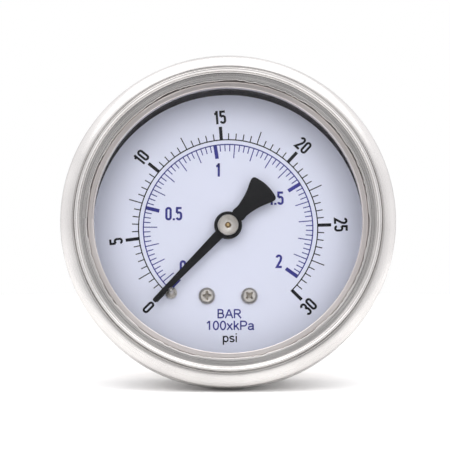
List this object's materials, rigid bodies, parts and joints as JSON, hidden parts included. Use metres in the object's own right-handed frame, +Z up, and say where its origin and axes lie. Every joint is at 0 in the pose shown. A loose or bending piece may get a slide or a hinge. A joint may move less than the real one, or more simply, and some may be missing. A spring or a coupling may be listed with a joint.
{
  "type": "pressure gauge",
  "caption": "Round dial pressure gauge with a crimped bezel, geared pointer, Bourdon tube movement and a threaded centre-back connection.",
  "frame": {"origin": "centre of the threaded stem's end face", "axes": "+Y along the stem, out of the back; the dial faces -Y; +Z is up as the dial is read; +X is to the reader's right"},
  "size_m": [0.0684, 0.0545, 0.0684],
  "materials": {
    "case_steel": "satin drawn stainless steel",
    "bezel_steel": "finely turned stainless steel, half bright",
    "ring_steel": "finely turned stainless steel",
    "gasket_rubber": "matt moulded rubber",
    "window_clear": "clear polished safety glass",
    "plug_rubber": "matt moulded rubber",
    "dial_white": "white semi-matt lacquer with printed scales",
    "screw_nickel": "nickel plated, pan head",
    "stop_pin_nickel": "nickel plated",
    "pointer_black": "black semi-gloss lacquer on aluminium",
    "bush_nickel": "nickel plated, turned",
    "pinion_brass": "turned and cut brass",
    "movement_brass": "blanked sheet brass",
    "spring_bronze": "rolled bronze strip",
    "sector_brass": "blanked and hobbed brass",
    "pin_steel": "turned steel",
    "screw_steel": "turned stainless steel",
    "tube_bronze": "drawn phosphor bronze tube",
    "socket_brass": "machined brass",
    "seal_rubber": "moulded rubber"
  },
  "bodies": {
    "case": {"case_shell": "case_steel", "bezel_ring": "bezel_steel", "window_ring": "ring_steel", "window_gasket": "gasket_rubber", "window": "window_clear", "dial": "dial_white", "dial_screw_left": "screw_nickel", "dial_screw_right": "screw_nickel", "stop_pin": "stop_pin_nickel", "hairspring": "spring_bronze", "hairspring_stud": "movement_brass", "movement_front_plate": "movement_brass", "movement_back_plate": "movement_brass", "movement_pillar_left": "movement_brass", "movement_pillar_right": "movement_brass", "plate_screw_left": "screw_steel", "plate_screw_right": "screw_steel", "movement_screw_lower": "screw_steel", "movement_screw_upper": "screw_steel", "bourdon_tube": "tube_bronze", "pressure_socket": "socket_brass", "inlet_restrictor": "socket_brass", "case_seal": "seal_rubber", "case_screw_upper": "screw_steel", "case_screw_lower": "screw_steel"},
    "pointer": {"pointer_blade": "pointer_black", "pointer_bush": "bush_nickel", "pinion_shaft": "pinion_brass", "hairspring_collet": "movement_brass"},
    "sector": {"sector_gear": "sector_brass", "sector_shaft": "pin_steel", "link_screw": "pin_steel"},
    "link": {"link": "movement_brass"},
    "tube_tip": {"tube_end_piece": "socket_brass", "link_tip_pin": "pin_steel"},
    "plug": {"fill_plug": "plug_rubber"}
  },
  "joints": [
    {"name": "pointer_turn", "type": "hinge", "parent": "case", "child": "pointer", "pos_m": [0, -0.0448, 0], "axis": [0, 1, 0], "range_deg": [0, 270], "stiffness_Nm_per_rad": 0.0014, "springref_deg": -17.19, "deforming": ["hairspring"]},
    {"name": "sector_swing", "type": "hinge", "parent": "case", "child": "sector", "pos_m": [0.00647, -0.0354, -0.0089], "axis": [0, 1, 0], "range_deg": [-27.5, 0.5]},
    {"name": "link_swing", "type": "hinge", "parent": "sector", "child": "link", "pos_m": [0.01024, -0.0369, -0.01248], "axis": [0, 1, 0], "range_deg": [-0.5, 27]},
    {"name": "tube_tip_bend", "type": "hinge", "parent": "case", "child": "tube_tip", "pos_m": [-0.0034, -0.0335, 0.0052], "axis": [0, 1, 0], "range_deg": [-7.5, 0.5], "deforming": ["bourdon_tube"]},
    {"name": "plug_pull", "type": "slide", "parent": "case", "child": "plug", "axis": [0, 0, 1], "range_m": [0, 0.008]}
  ],
  "couplings": [
    {"joint": "sector_swing", "follows": "pointer_turn", "ratio": -0.1},
    {"joint": "link_swing", "follows": "pointer_turn", "ratio": 0.095776},
    {"joint": "tube_tip_bend", "follows": "pointer_turn", "ratio": -0.024974}
  ]
}
